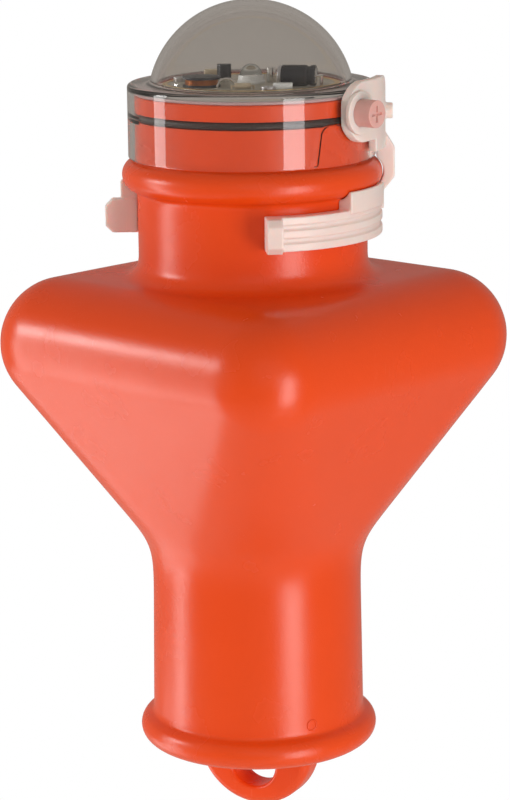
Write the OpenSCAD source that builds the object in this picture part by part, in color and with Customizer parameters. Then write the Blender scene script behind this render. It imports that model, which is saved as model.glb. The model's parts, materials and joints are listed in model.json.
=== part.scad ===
// Floating rescue light: a blow-moulded float with a neck, a clear dome that covers
// an LED light engine, and a translucent collar that swivels round the neck.
// Origin: centre of the lanyard eye's hole, on the body's axis. +Z runs up to the dome.

/* [Float body] */
// Outer radius of the lower tube
tube_r = 35.2; // [34.8:0.1:36]
// Outer radius of the rounded lip round the base
lip_r = 40; // [39:0.5:42]
// Height of the base's underside above the eye's centre
base_z = 9; // [9:0.5:10]
// Height where the float's cone starts on the tube
cone_z = 78; // [77:1:79]
// Height of the float's widest level
float_z = 147; // [146:1:148]
// Distance of each float corner's centre from the axis
corner_reach = 62; // [58:1:63]
// Radius that rounds each float corner
corner_r = 22; // [20:1:22]
// Thickness of the moulded wall
wall = 2.4; // [2:0.1:2.4]

/* [Neck and spigot] */
// Outer radius of the neck
neck_r = 37.7; // [37.7:0.1:37.9]
// Radius of the blend between the neck and the float's top
neck_fillet = 5; // [3:0.5:6]
// Radius of the rounded bead's section
bead_section = 5.3; // [5:0.1:5.3]
// Height of the bead's middle
bead_z = 202.7; // [202.5:0.1:203]
// Outer radius of the spigot that the dome slides over
spigot_r = 38.1; // [38:0.05:38.1]
// Inner radius of the mouth
mouth_r = 32.4; // [32.3:0.1:32.6]
// Height of the mouth's rim
mouth_z = 229; // [228.8:0.1:229]

/* [Lanyard eye] */
// Radius of the eye's hole
eye_hole_r = 8.5; // [7:0.5:8.5]
// Outer radius of the eye
eye_r = 21.5; // [20:0.5:23]
// Thickness of the eye
eye_t = 11; // [8:1:12]
// Turn of the eye about the axis
eye_turn = -30; // [-90:5:90]

/* [Dome] */
// Outer radius of the dome's sphere
dome_r = 33.9; // [33.6:0.1:34.2]
// Height of the sphere's centre
dome_z = 225; // [224.8:0.1:225.2]
// Wall thickness of the dome
dome_wall = 2; // [1.8:0.1:2]
// Outer radius of the dome's skirt
skirt_r = 40.4; // [40.3:0.1:40.4]
// Height of the skirt's lower edge
skirt_z = 208.3; // [208.3:0.1:210]
// Height of the skirt's flat shoulder
shoulder_z = 232.2; // [232.2:0.1:232.6]

/* [Collar] */
// Height of the strap's lower edge
strap_z = 183; // [181:0.5:184]
// Height of the strap
strap_h = 11; // [10:0.5:11]
// Outer radius of the strap's ribs
strap_r = 42.6; // [42:0.1:42.6]
// Angle where the strap starts
strap_start = -87; // [-95:1:-85]
// Angle that the strap covers
strap_span = 264; // [240:1:270]
// How far the thumb tabs stand out from the axis
tab_r = 48.5; // [46:0.5:52]
// Angle of the locking stud
stud_angle = -41; // [-42:1:-40]

/* [Light engine] */
// Radius of one battery cell
cell_r = 13.1; // [12.9:0.1:13.1]
// Length of one battery cell
cell_h = 50; // [48:0.5:50]
// Radius of the battery carrier's plates
plate_r = 32; // [31.8:0.1:32.1]
// Radius of the circuit board
board_r = 29; // [28.8:0.1:29.2]

/* [Hidden] */
$fn = 96;

big = 400;          // longer than the whole object, for cutting
gap = 0.3;          // space between round faces of pieces that move apart
run = 0.1;          // radial space of a running fit
lap = 1;            // overlap that joins two shapes of one piece
hull_fn = 32;       // facets of a rounded float corner

// body levels
lip_section = 5;
floor_z = base_z + 3;
top_z = float_z + corner_r;
bead_centre_r = 37.3;
spigot_z = bead_z + bead_section;
neck_blend_angle = 25;
neck_blend_z = top_z + neck_fillet * cos(neck_blend_angle);
neck_bore_r = neck_r - 3;
eye_centre_z = base_z - 2.4;
eye_edge = 3;

// dome seal and rim seal
ring_section = 1.15;
ring_centre_r = 37.1;
ring_z = 222.4;
groove_w = 2.7;
groove_r = ring_centre_r - ring_section - 0.05;
seal_t = 1.3;
seal_in_r = 32.6;
seal_out_r = 37.8;
skirt_in_r = skirt_r - dome_wall;
shoulder_under_z = mouth_z + seal_t + run;
shoulder_edge = 1.2;
track_depth = 0.7;
track_w = 1.6;
track_angle = -60;
track_turn = 18;
track_top_z = 220.6;

// collar
strap_in_r = neck_r + run;
rib_depth = 0.9;
rib_groove = 1.7;
hook_r = 43.4;
hook_z = 200;
hook_angles = [[-46, 34], [160, 16]];
tab_t = 5;
tab_edge = 1.6;
bead_clear = bead_section + 0.35;
arm_t = 5;
arm_angle = -3;
arm_outline = [[39, 190.5], [43, 190.5], [43, 196.5], [46.6, 201], [46.6, 210.5], [43.2, 216], [39, 216]];
pad_in_r = skirt_r + 0.35;
pad_out_r = 43.6;
pad_angle = -26;
pad_half_w = 16;
pad_half_h = 9.8;
pad_corner = 8;
pad_seat_r = 43.1;
link_z = [211, 219];
link_reach = 17.5;
nub_r = 2.6;
nub_end_r = 46;
nub_z = 222.5;
nub_angle = -5;
stud_r = 4.4;
stud_fit = 0.05;
stud_z = 225;
stud_in_r = 40.9;
stud_out_r = 50.6;
stud_slot = 0.9;
stud_slot_depth = 0.8;
washer_r = 6.9;
washer_out_r = 44.7;

// battery pack, from the floor up
plate_t = 3;
contact_t = 0.5;
cell_pitch = 13.2;
cell_z = floor_z + plate_t + contact_t;
cell_top_z = cell_z + cell_h;
spring_h = 4;
spring_wire = 0.4;
spring_low_r = 2.2;
spring_top_r = 5;
spring_turns = 3;
spring_steps = 14;
spring_sides = 6;
upper_contact_z = cell_top_z + spring_h;
top_plate_z = upper_contact_z + contact_t;
rod_r = 2;
rod_bottom_z = floor_z + 1;
nut_r = 4;
nut_h = 2.4;
spacer_r = 5;
deck_z = 225.4;
deck_floor_t = 1.8;
deck_r = 32.1;
deck_wall_in_r = 30;
board_z = 230.2;
board_t = 1.6;
board_top = board_z + board_t;
rod_top_z = deck_z + deck_floor_t + nut_h + 0.3;
spacer_z = top_plate_z + plate_t + nut_h;
lead_r = 0.9;
lead_x = 9;
clip_heights = [115, 175];
clip_size = [24, 14, 4];
clip_mouth_w = 8;
clip_mouth_y = 3.5;
post_r = 3;
post_circle = 24.5;
post_angles = [40, 160, 280];
screw_r = 1.25;
screw_head_r = 2.4;
screw_head_h = 1.4;
screw_len = 4;
screw_slot = 0.6;

// parts on the board
guard_in_r = 27.3;
guard_t = 0.15;
led_board_r = 4.6;
led_board_t = 1;
led_z = board_top + led_board_t;
emitter_r = 2.3;
emitter_t = 1.3;
lens_r = 3.7;
lens_foot = 1.5;
coil_at = [-16.2, -9.4];
coil_r = 6;
coil_h = 3.4;
coil_flange = 0.8;
coil_hub_r = 2.6;
coil_wire_r = 5.3;
jumper_at = [-8.4, -14.6];
jumper_r = 3;
jumper_wire_r = 0.4;
can_at = [14, -13.5];
can_turn = -15;
can_r = 3.4;
can_len = 12;
can_end = 1.2;
sleeve_t = 0.25;
can_lift = can_r + 0.1;
pin_r = 0.3;
pin_reach = 2;
pin_gap = 1.3;
switch_at = [6.6, 0.6];
switch_r = 1.5;
switch_h = 4.8;
switch_wall = 0.4;
ball_r = 0.95;
block_size = [6, 3, 2];
block_at = [6, -21.6];
transistor_at = [-8.6, 4.2];
transistor_r = 2.3;
transistor_h = 4.4;
transistor_lift = 1.4;
leg_pitch = 1.27;
leg_r = 0.25;
film_size = [7, 3, 3.2];
film_at = [-15, 13.5];
resistor_r = 0.95;
resistor_len = 5;
resistor_lift = 1.1;
resistor_spots = [[-3.5, -19, 0], [0.5, 12, 0], [14.5, 4, 90]];

float_orange = [0.92, 0.29, 0.08];
clear_grey = [0.72, 0.7, 0.67, 0.45];
milk_white = [0.94, 0.88, 0.85];
pale_pink = [0.91, 0.72, 0.7];
seal_grey = [0.62, 0.55, 0.56];
rubber_black = [0.12, 0.1, 0.1];
steel = [0.75, 0.75, 0.76];
gold = [0.85, 0.66, 0.28];
nylon_white = [0.88, 0.87, 0.83];

function corner_spots() = [for (turn = [0:90:270]) turn];

// Convex solid of the float: four rounded corners that taper to the round tube.
module float_solid(round_r, low_r, low_z) {
  hull() {
    for (turn = corner_spots())
      rotate([0, 0, turn]) translate([corner_reach, 0, float_z]) sphere(r = round_r, $fn = hull_fn);
    translate([0, 0, low_z]) cylinder(r = low_r, h = 1, $fn = 2 * hull_fn);
  }
}

// Rectangle between two corners of a half section.
module square_at(low_r, low_z, high_r, high_z) {
  translate([low_r, low_z]) square([high_r - low_r, high_z - low_z]);
}

// Ring of round section about the axis.
module torus(centre_r, section_r, z) {
  translate([0, 0, z]) rotate_extrude() translate([centre_r, 0]) circle(r = section_r);
}

// Half section of the body's round parts: lip, tube, neck, bead and spigot.
module body_section() {
  square_at(0, base_z, lip_r - lip_section, cone_z);
  translate([lip_r - lip_section, base_z + lip_section]) circle(r = lip_section);
  square_at(0, base_z + lip_section, tube_r, cone_z);
  square_at(0, float_z, neck_r, bead_z);
  translate([bead_centre_r, bead_z]) circle(r = bead_section);
  square_at(0, bead_z, spigot_r, mouth_z);
  // concave blend from the float's flat top into the neck
  difference() {
    square_at(neck_r - lap, top_z - lap, neck_r + neck_fillet, neck_blend_z);
    translate([neck_r + neck_fillet, neck_blend_z]) circle(r = neck_fillet);
  }
}

// Half section of the round hollow inside the body.
module well_section() {
  square_at(0, floor_z, tube_r - wall, float_z);
  square_at(0, float_z, neck_bore_r, bead_z);
  square_at(0, float_z, mouth_r, mouth_z + lap);
}

// Rounded disc that stands on edge, of which the lug is the lower part.
module eye_disc() {
  rotate([0, 0, eye_turn]) translate([0, eye_t / 2, eye_centre_z]) rotate([90, 0, 0])
    rotate_extrude() {
      square([eye_r - eye_edge, eye_t]);
      translate([0, eye_edge]) square([eye_r, eye_t - 2 * eye_edge]);
      for (y = [eye_edge, eye_t - eye_edge]) translate([eye_r - eye_edge, y]) circle(r = eye_edge, $fn = 48);
    }
}

// Lug under the base's flat underside; its hole is the lanyard eye.
module lanyard_lug() {
  color(float_orange) difference() {
    intersection() {
      eye_disc();
      translate([0, 0, base_z - big / 2]) cube([big, big, big], center = true);
    }
    rotate([0, 0, eye_turn]) rotate([90, 0, 0]) cylinder(r = eye_hole_r, h = 2 * eye_t, center = true);
  }
}

module float_body() {
  color(float_orange) difference() {
    union() {
      rotate_extrude() body_section();
      float_solid(corner_r, tube_r - lap, cone_z);
    }
    rotate_extrude() well_section();
    float_solid(corner_r - wall, tube_r - wall - lap, cone_z + wall);
    rotate_extrude() square_at(groove_r, ring_z - groove_w / 2, spigot_r + lap, ring_z + groove_w / 2);
  }
}

// Closed-cell block that fills the float round the battery well.
module foam_core() {
  foam_gap = 1;
  color([0.93, 0.9, 0.8]) difference() {
    float_solid(corner_r - wall - foam_gap, tube_r - wall, cone_z + 2 * wall);
    translate([0, 0, cone_z - lap]) cylinder(r = neck_bore_r, h = big);
    translate([0, 0, cone_z - big / 2 + 16]) cube([big, big, big], center = true);
  }
}

module o_ring() { color(rubber_black) torus(ring_centre_r, ring_section, ring_z); }

module rim_seal() {
  color(seal_grey) translate([0, 0, mouth_z]) difference() {
    cylinder(r = seal_out_r, h = seal_t);
    translate([0, 0, -lap]) cylinder(r = seal_in_r, h = seal_t + 2 * lap);
  }
}

// Shallow hooked track inside the skirt, which guides the dome on and off.
module bayonet_track() {
  rotate([0, 0, track_angle]) translate([skirt_in_r - lap, -track_w / 2, skirt_z - lap])
    cube([lap + track_depth, track_w, track_top_z - skirt_z + lap]);
  rotate([0, 0, track_angle]) translate([0, 0, track_top_z - track_w])
    rotate_extrude(angle = track_turn) translate([skirt_in_r - lap, 0]) square([lap + track_depth, track_w]);
}

module dome_outside() {
  intersection() {
    translate([0, 0, dome_z]) sphere(r = dome_r, $fn = 2 * $fn);
    translate([0, 0, shoulder_z - lap]) cylinder(r = dome_r, h = dome_r);
  }
  translate([0, 0, skirt_z]) cylinder(r = skirt_r, h = shoulder_z - shoulder_edge - skirt_z);
  translate([0, 0, skirt_z]) cylinder(r = skirt_r - shoulder_edge, h = shoulder_z - skirt_z);
  torus(skirt_r - shoulder_edge, shoulder_edge, shoulder_z - shoulder_edge);
}

module dome_lens() {
  color(clear_grey) difference() {
    dome_outside();
    translate([0, 0, dome_z]) sphere(r = dome_r - dome_wall, $fn = 2 * $fn);
    translate([0, 0, skirt_z - lap]) cylinder(r = skirt_in_r, h = shoulder_under_z - skirt_z + lap);
    for (turn = [0, 120, 240]) rotate([0, 0, turn]) bayonet_track();
  }
}

// Section of the strap: a band with grooves between its ribs.
module strap_section() {
  rib_pitch = (strap_h - 2 * rib_groove) / 3;
  difference() {
    translate([strap_in_r - lap, strap_z]) square([strap_r - strap_in_r + lap, strap_h]);
    for (i = [0, 1])
      translate([strap_r - rib_depth, strap_z + rib_pitch + i * (rib_pitch + rib_groove)])
        square([rib_depth + lap, rib_groove]);
  }
}

// Raised lip of the strap, which hooks round the underside of the bead.
module hook_section() {
  square_at(strap_in_r - lap, strap_z + strap_h - lap, hook_r, hook_z);
}

// Thumb tab at one end of the strap.
module thumb_tab(angle, side) {
  rotate([0, 0, angle]) difference() {
    translate([strap_in_r + lap, side > 0 ? 0 : -tab_t, strap_z]) cube([tab_r - strap_in_r - lap, tab_t, strap_h]);
    for (z = [strap_z, strap_z + strap_h])
      translate([tab_r, 0, z]) rotate([0, 45, 0]) cube([2 * tab_edge, big, 2 * tab_edge], center = true);
  }
}

// Flat arm in the plane through the axis, which bulges past the bead.
module arm() {
  rotate([0, 0, arm_angle]) rotate([90, 0, 0]) linear_extrude(height = arm_t, center = true) polygon(arm_outline);
}

// Outline of the pad and its link to the arm, as seen along the pad's own radius.
module pad_outline() {
  w = pad_half_w - pad_corner;
  h = pad_half_h - pad_corner;
  square([2 * pad_half_w, 2 * h], center = true);
  square([2 * w, 2 * pad_half_h], center = true);
  for (x = [-w, w], y = [-h, h]) translate([x, y]) circle(r = pad_corner);
  square_at(0, link_z[0] - stud_z, link_reach, link_z[1] - stud_z);
}

// Curved pad that lies along the dome's skirt and carries the locking stud.
module pad() {
  intersection() {
    cylinder(r = pad_out_r, h = big);
    rotate([0, 0, pad_angle]) translate([0, 0, stud_z]) rotate([90, 0, 90]) linear_extrude(height = big) pad_outline();
  }
}

module along_stud(from_r) {
  rotate([0, 0, stud_angle]) translate([from_r, 0, stud_z]) rotate([0, 90, 0]) children();
}

module retaining_collar() {
  color(milk_white) difference() {
    union() {
      rotate([0, 0, strap_start]) rotate_extrude(angle = strap_span) strap_section();
      for (hook = hook_angles) rotate([0, 0, hook[0]]) rotate_extrude(angle = hook[1]) hook_section();
      thumb_tab(strap_start, 1);
      thumb_tab(strap_start + strap_span, -1);
      arm();
      pad();
      rotate([0, 0, nub_angle]) translate([pad_out_r - lap, 0, nub_z]) rotate([0, 90, 0])
        cylinder(r = nub_r, h = nub_end_r - pad_out_r + lap);
    }
    rotate_extrude() collar_clearance();
    along_stud(pad_in_r - lap) cylinder(r = stud_r + stud_fit, h = 2 * lap + pad_out_r);
    along_stud(pad_seat_r) cylinder(r = washer_r + run, h = pad_out_r);
  }
}

// Half section of the neck, bead and skirt with the space that the collar keeps from them.
module collar_clearance() {
  square_at(0, strap_z - lap, strap_in_r, bead_z);
  translate([bead_centre_r, bead_z]) circle(r = bead_clear);
  square_at(0, bead_z, pad_in_r, big);
}

module stud_washer() {
  color(milk_white) along_stud(pad_seat_r) difference() {
    cylinder(r = washer_r, h = washer_out_r - pad_seat_r);
    translate([0, 0, -lap]) cylinder(r = stud_r + stud_fit, h = washer_out_r);
  }
}

module lock_stud() {
  color(pale_pink) difference() {
    along_stud(stud_in_r) cylinder(r = stud_r, h = stud_out_r - stud_in_r);
    for (turn = [0, 90]) along_stud(stud_out_r) rotate([0, 0, turn])
      cube([1.2 * stud_r, stud_slot, 2 * stud_slot_depth], center = true);
  }
}

// ---- battery pack ----

module carrier_plate(z) {
  translate([0, 0, z]) difference() {
    cylinder(r = plate_r, h = plate_t);
    for (turn = corner_spots()) rotate([0, 0, turn]) translate([plate_r, 0, -lap]) cylinder(r = 3, h = plate_t + 2 * lap);
  }
}

module bottom_plate() {
  color(nylon_white) difference() {
    carrier_plate(floor_z);
    translate([0, 0, rod_bottom_z]) cylinder(r = rod_r, h = big);
  }
}

module top_plate() {
  color(nylon_white) difference() {
    carrier_plate(top_plate_z);
    cylinder(r = rod_r + run, h = big);
  }
}

module at_cells() {
  for (x = [-1, 1], y = [-1, 1]) translate([x * cell_pitch, y * cell_pitch, 0]) children();
}

// One cell; its cap points up or down, as two and two are wired in series.
module cell(cap_up) {
  cap_h = 1.5;
  cap_r = 3;
  low = cell_z + (cap_up ? 0 : cap_h);
  translate([0, 0, low]) cylinder(r = cell_r, h = cell_h - cap_h);
  translate([0, 0, cell_z]) cylinder(r = cap_r, h = cell_h);
}

module battery_cells() {
  color([0.2, 0.22, 0.25]) for (x = [-1, 1], y = [-1, 1])
    translate([x * cell_pitch, y * cell_pitch, 0]) cell(x * y > 0);
}

module contact_pair(z, turn) {
  width = 10;
  for (side = [-1, 1]) rotate([0, 0, turn]) translate([side * cell_pitch, 0, z + contact_t / 2])
    cube([width, 2 * cell_pitch + width, contact_t], center = true);
}

module lower_contacts() { color(steel) contact_pair(floor_z + plate_t, 0); }
module upper_contacts() { color(steel) contact_pair(upper_contact_z, 90); }

// Points of one ring of the tapered spring's wire.
function spring_ring(i) =
  let (share = i / (spring_turns * spring_steps),
       turn = 360 * i / spring_steps,
       coil_r = spring_low_r + share * (spring_top_r - spring_low_r),
       z = spring_wire + share * (spring_h - 2 * spring_wire))
  [for (k = [0:spring_sides - 1]) let (a = 360 * k / spring_sides, r = coil_r + spring_wire * cos(a))
    [r * cos(turn), r * sin(turn), z + spring_wire * sin(a)]];

module contact_spring() {
  last = spring_turns * spring_steps;
  points = [for (i = [0:last]) each spring_ring(i)];
  sides = [for (i = [0:last - 1], k = [0:spring_sides - 1])
    let (a = i * spring_sides + k, b = i * spring_sides + (k + 1) % spring_sides)
    [a, a + spring_sides, b + spring_sides, b]];
  first_end = [for (k = [0:spring_sides - 1]) k];
  last_end = [for (k = [spring_sides - 1:-1:0]) last * spring_sides + k];
  polyhedron(points = points, faces = concat(sides, [first_end, last_end]));
}

module contact_springs() { color(steel) at_cells() translate([0, 0, cell_top_z]) contact_spring(); }

module centre_rod() {
  color(steel) translate([0, 0, rod_bottom_z]) cylinder(r = rod_r, h = rod_top_z - rod_bottom_z);
}

module hex_nut(z) {
  translate([0, 0, z]) difference() {
    cylinder(r = nut_r, h = nut_h, $fn = 6);
    translate([0, 0, -lap]) cylinder(r = rod_r + stud_fit, h = nut_h + 2 * lap);
  }
}

module rod_nuts() {
  color(steel) {
    hex_nut(floor_z + plate_t);
    hex_nut(top_plate_z + plate_t);
    hex_nut(deck_z + deck_floor_t);
  }
}

module spacer_tube() {
  color([0.8, 0.82, 0.84]) translate([0, 0, spacer_z]) difference() {
    cylinder(r = spacer_r, h = deck_z - spacer_z);
    translate([0, 0, -lap]) cylinder(r = rod_r + run, h = big);
  }
}

module lead(side) {
  translate([side * lead_x, 0, top_plate_z + plate_t]) cylinder(r = lead_r, h = board_z - top_plate_z - plate_t, $fn = 32);
}
module positive_lead() { color([0.75, 0.1, 0.08]) lead(1); }
module negative_lead() { color([0.08, 0.08, 0.09]) lead(-1); }

module lead_clips() {
  color([0.85, 0.85, 0.82]) for (z = clip_heights) difference() {
    translate([0, 0, z]) cube(clip_size, center = true);
    cylinder(r = spacer_r, h = big);
    for (side = [-1, 1]) translate([side * lead_x, 0, 0]) cylinder(r = lead_r, h = big, $fn = 32);
    translate([-clip_mouth_w / 2, clip_mouth_y, z - clip_size[2]]) cube([clip_mouth_w, clip_size[1], 2 * clip_size[2]]);
  }
}

// ---- light engine ----

module engine_deck() {
  color([0.86, 0.74, 0.7]) translate([0, 0, deck_z]) difference() {
    cylinder(r = deck_r, h = board_z - deck_z);
    translate([0, 0, deck_floor_t]) cylinder(r = deck_wall_in_r, h = big);
    translate([0, 0, -lap]) cylinder(r = rod_r + run, h = big);
    for (side = [-1, 1]) translate([side * lead_x, 0, -lap]) cylinder(r = lead_r + run, h = big, $fn = 32);
  }
}

module at_posts() {
  for (turn = post_angles) rotate([0, 0, turn]) translate([post_circle, 0, 0]) children();
}

module deck_posts() {
  color([0.86, 0.74, 0.7]) at_posts() translate([0, 0, deck_z + deck_floor_t]) difference() {
    cylinder(r = post_r, h = board_z - deck_z - deck_floor_t, $fn = 48);
    cylinder(r = screw_r, h = big, $fn = 32);
  }
}

module circuit_board() {
  color([0.16, 0.3, 0.2]) translate([0, 0, board_z]) difference() {
    cylinder(r = board_r, h = board_t);
    at_posts() translate([0, 0, -lap]) cylinder(r = screw_r, h = board_t + 2 * lap, $fn = 32);
  }
}

module guard_ring() {
  color(gold) translate([0, 0, board_top]) difference() {
    cylinder(r = board_r, h = guard_t);
    translate([0, 0, -lap]) cylinder(r = guard_in_r, h = big);
  }
}

module board_screws() {
  color(steel) at_posts() {
    translate([0, 0, board_top - screw_len]) cylinder(r = screw_r, h = screw_len, $fn = 32);
    translate([0, 0, board_top]) difference() {
      cylinder(r = screw_head_r, h = screw_head_h, $fn = 48);
      translate([0, 0, screw_head_h]) for (turn = [0, 90]) rotate([0, 0, turn])
        cube([1.4 * screw_head_r, screw_slot, screw_head_h], center = true);
    }
  }
}

module led_board() { color("white") translate([0, 0, board_top]) cylinder(r = led_board_r, h = led_board_t); }
module led_emitter() { color([0.95, 0.8, 0.1]) translate([0, 0, led_z]) cylinder(r = emitter_r, h = emitter_t, $fn = 48); }

module led_lens() {
  color([0.9, 0.92, 0.9, 0.4]) translate([0, 0, led_z]) difference() {
    union() {
      cylinder(r = lens_r, h = lens_foot);
      intersection() {
        translate([0, 0, lens_foot]) sphere(r = lens_r);
        cylinder(r = lens_r, h = 2 * lens_r);
      }
    }
    translate([0, 0, -lap]) cylinder(r = emitter_r + run, h = lap + emitter_t + run, $fn = 48);
  }
}

module at_coil() { translate([coil_at[0], coil_at[1], board_top]) children(); }

module inductor_core() {
  color([0.2, 0.2, 0.22]) at_coil() {
    cylinder(r = coil_r, h = coil_flange);
    cylinder(r = coil_hub_r, h = coil_h);
    translate([0, 0, coil_h - coil_flange]) cylinder(r = coil_r, h = coil_flange);
  }
}

module inductor_winding() {
  color([0.72, 0.42, 0.22]) at_coil() translate([0, 0, coil_flange]) difference() {
    cylinder(r = coil_wire_r, h = coil_h - 2 * coil_flange);
    translate([0, 0, -lap]) cylinder(r = coil_hub_r, h = big);
  }
}

module jumper_wire() {
  color([0.86, 0.83, 0.76]) translate([jumper_at[0], jumper_at[1], board_top]) rotate([90, 0, 0])
    rotate_extrude(angle = 180) translate([jumper_r, 0]) circle(r = jumper_wire_r, $fn = 24);
}

// Moves a cylinder drawn along +X into the lying capacitor's place.
module at_can() {
  translate([can_at[0], can_at[1], board_top + can_lift]) rotate([0, 0, can_turn]) children();
}

module capacitor_can() {
  color(steel) at_can() translate([-can_len / 2, 0, 0]) rotate([0, 90, 0]) cylinder(r = can_r - sleeve_t, h = can_len);
}

module capacitor_sleeve() {
  color([0.1, 0.1, 0.11]) at_can() translate([can_end - can_len / 2, 0, 0]) rotate([0, 90, 0]) difference() {
    cylinder(r = can_r, h = can_len - can_end);
    translate([0, 0, -lap]) cylinder(r = can_r - sleeve_t, h = big);
  }
}

module capacitor_leads() {
  color(steel) at_can() for (side = [-1, 1]) translate([can_len / 2, side * pin_gap, 0]) {
    rotate([0, 90, 0]) cylinder(r = pin_r, h = pin_reach, $fn = 24);
    translate([pin_reach - pin_r, 0, -can_lift]) cylinder(r = pin_r, h = can_lift, $fn = 24);
  }
}

module tilt_switch() {
  color([0.8, 0.8, 0.82]) translate([switch_at[0], switch_at[1], board_top]) difference() {
    cylinder(r = switch_r, h = switch_h, $fn = 48);
    translate([0, 0, switch_wall]) cylinder(r = switch_r - switch_wall, h = switch_h - 2 * switch_wall, $fn = 48);
  }
}

module tilt_ball() {
  color(gold) translate([switch_at[0], switch_at[1], board_top + switch_wall + ball_r]) sphere(r = ball_r, $fn = 32);
}

module terminal_block() {
  color([0.9, 0.92, 0.9]) translate([block_at[0], block_at[1], board_top]) difference() {
    cube(block_size);
    for (x = [0.3, 0.7]) translate([x * block_size[0], block_size[1] / 2, block_size[2] / 2])
      cylinder(r = 0.8, h = block_size[2], $fn = 24);
  }
}

module transistor() {
  color([0.13, 0.13, 0.14]) translate([transistor_at[0], transistor_at[1], board_top + transistor_lift]) difference() {
    cylinder(r = transistor_r, h = transistor_h, $fn = 48);
    translate([-big / 2, 0.6 * transistor_r, -lap]) cube([big, big, big]);
  }
}

module transistor_legs() {
  color(steel) for (i = [-1, 0, 1]) translate([transistor_at[0] + i * leg_pitch, transistor_at[1], board_top])
    cylinder(r = leg_r, h = transistor_lift, $fn = 24);
}

module film_capacitor() {
  color([0.82, 0.76, 0.66]) translate([film_at[0], film_at[1], board_top]) cube(film_size);
}

// Each resistor lies on bent wires that stand in the board.
module resistors() {
  color([0.72, 0.62, 0.5]) for (spot = resistor_spots)
    translate([spot[0], spot[1], board_top + resistor_lift]) rotate([0, 0, spot[2]]) {
      rotate([0, 90, 0]) cylinder(r = resistor_r, h = resistor_len, center = true, $fn = 32);
      rotate([0, 90, 0]) cylinder(r = pin_r, h = resistor_len + 2, center = true, $fn = 24);
      for (side = [-1, 1]) translate([side * (resistor_len / 2 + 1), 0, -resistor_lift])
        cylinder(r = pin_r, h = resistor_lift + pin_r, $fn = 24);
    }
}

float_body();
lanyard_lug();
foam_core();
o_ring();
rim_seal();
dome_lens();
retaining_collar();
stud_washer();
lock_stud();
bottom_plate();
battery_cells();
lower_contacts();
contact_springs();
upper_contacts();
top_plate();
centre_rod();
rod_nuts();
spacer_tube();
positive_lead();
negative_lead();
lead_clips();
engine_deck();
deck_posts();
circuit_board();
guard_ring();
board_screws();
led_board();
led_emitter();
led_lens();
inductor_core();
inductor_winding();
jumper_wire();
capacitor_can();
capacitor_sleeve();
capacitor_leads();
tilt_switch();
tilt_ball();
terminal_block();
transistor();
transistor_legs();
film_capacitor();
resistors();
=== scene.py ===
# %% [markdown]
# # A floating rescue light, dressed in Blender
# The imported model gives every part at its real size, in metres, with +Z up and the origin in
# the middle of the lanyard eye. It is a fixed frame: nothing in it moves. Pieces built here
# either stand in for a part, with a finer mesh, or the part keeps its own mesh and gets a
# finish. The first cell loads the frame.

# %% Load the frame
import json
import math

import bmesh
import bpy
import numpy as np
from mathutils import Matrix, Vector
from mathutils.bvhtree import BVHTree


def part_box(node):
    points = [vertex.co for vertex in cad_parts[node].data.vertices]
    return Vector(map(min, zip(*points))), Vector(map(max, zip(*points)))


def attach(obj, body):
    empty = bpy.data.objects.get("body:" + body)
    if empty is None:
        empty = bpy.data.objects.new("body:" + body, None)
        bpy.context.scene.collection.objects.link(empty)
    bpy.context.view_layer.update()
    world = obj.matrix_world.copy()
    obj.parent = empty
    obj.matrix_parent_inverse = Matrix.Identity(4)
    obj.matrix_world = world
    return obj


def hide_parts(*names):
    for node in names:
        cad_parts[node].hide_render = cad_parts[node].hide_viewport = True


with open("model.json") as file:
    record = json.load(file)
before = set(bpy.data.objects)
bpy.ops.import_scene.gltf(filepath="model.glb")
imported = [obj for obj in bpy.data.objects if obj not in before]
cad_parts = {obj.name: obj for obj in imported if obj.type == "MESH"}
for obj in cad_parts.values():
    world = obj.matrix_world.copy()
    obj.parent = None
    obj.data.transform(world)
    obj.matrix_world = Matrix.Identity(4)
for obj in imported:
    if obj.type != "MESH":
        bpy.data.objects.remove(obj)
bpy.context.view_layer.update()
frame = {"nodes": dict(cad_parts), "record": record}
MM = 0.001
print("parts in the frame:", len(frame["nodes"]))

# %% [markdown]
# The whole light is moulded round one axis, so most of its shapes start from a half section
# turned about Z. A few levels and radii drive them all. They are read from the boxes of the
# parts where a box holds them, and named here where it doesn't.

# %% Driving sizes
body_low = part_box("float_body")[0]
dome_low, dome_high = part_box("dome_lens")
ring_low, ring_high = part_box("o_ring")
seal_low, seal_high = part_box("rim_seal")
well_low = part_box("bottom_plate")[0].z
board_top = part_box("circuit_board")[1].z

BASE_Z = well_low - 3 * MM
TUBE_R = 35.2 * MM
TUBE_DRAFT = 0.4 * MM
LIP_SECTION = 5 * MM
LIP_CENTRE_R = 35 * MM
CONE_Z = 78 * MM
FLOAT_Z = 147 * MM
CORNER_REACH = 62 * MM
CORNER_R = 22 * MM
TOP_Z = FLOAT_Z + CORNER_R
NECK_R = 37.7 * MM
NECK_FILLET = 6 * MM
NECK_WALL = 3 * MM
BEAD_Z = 202.7 * MM
BEAD_CENTRE_R = 37.3 * MM
BEAD_SECTION = 5.3 * MM
SPIGOT_R = 38.1 * MM
MOUTH_R = 32.4 * MM
MOUTH_Z = seal_low.z
WALL = 2.4 * MM
EDGE = 0.4 * MM
SKIRT_R = dome_high.x
SKIRT_Z = dome_low.z
DOME_WALL = 2 * MM
DOME_R = 33.9 * MM
DOME_CENTRE_Z = dome_high.z - DOME_R
SHOULDER_Z = 232.2 * MM
EYE_TURN = math.radians(-30)
print("from the float's base to the dome's top in mm:", round((dome_high.z - body_low.z) / MM, 1))

# %% [markdown]
# ## Camera, floor and light
# A long lens nearly a metre away, a little above the light and looking slightly down, shows
# its proportions without distortion. The camera leans by a fraction of a degree.

# %% Camera
TARGET = Vector((0, 0, 126 * MM))
DISTANCE = 0.95
PITCH = math.radians(12.9)
SWING = math.radians(2.5)
LEAN = math.radians(0.7)
FOCAL_MM = 128.25

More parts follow.
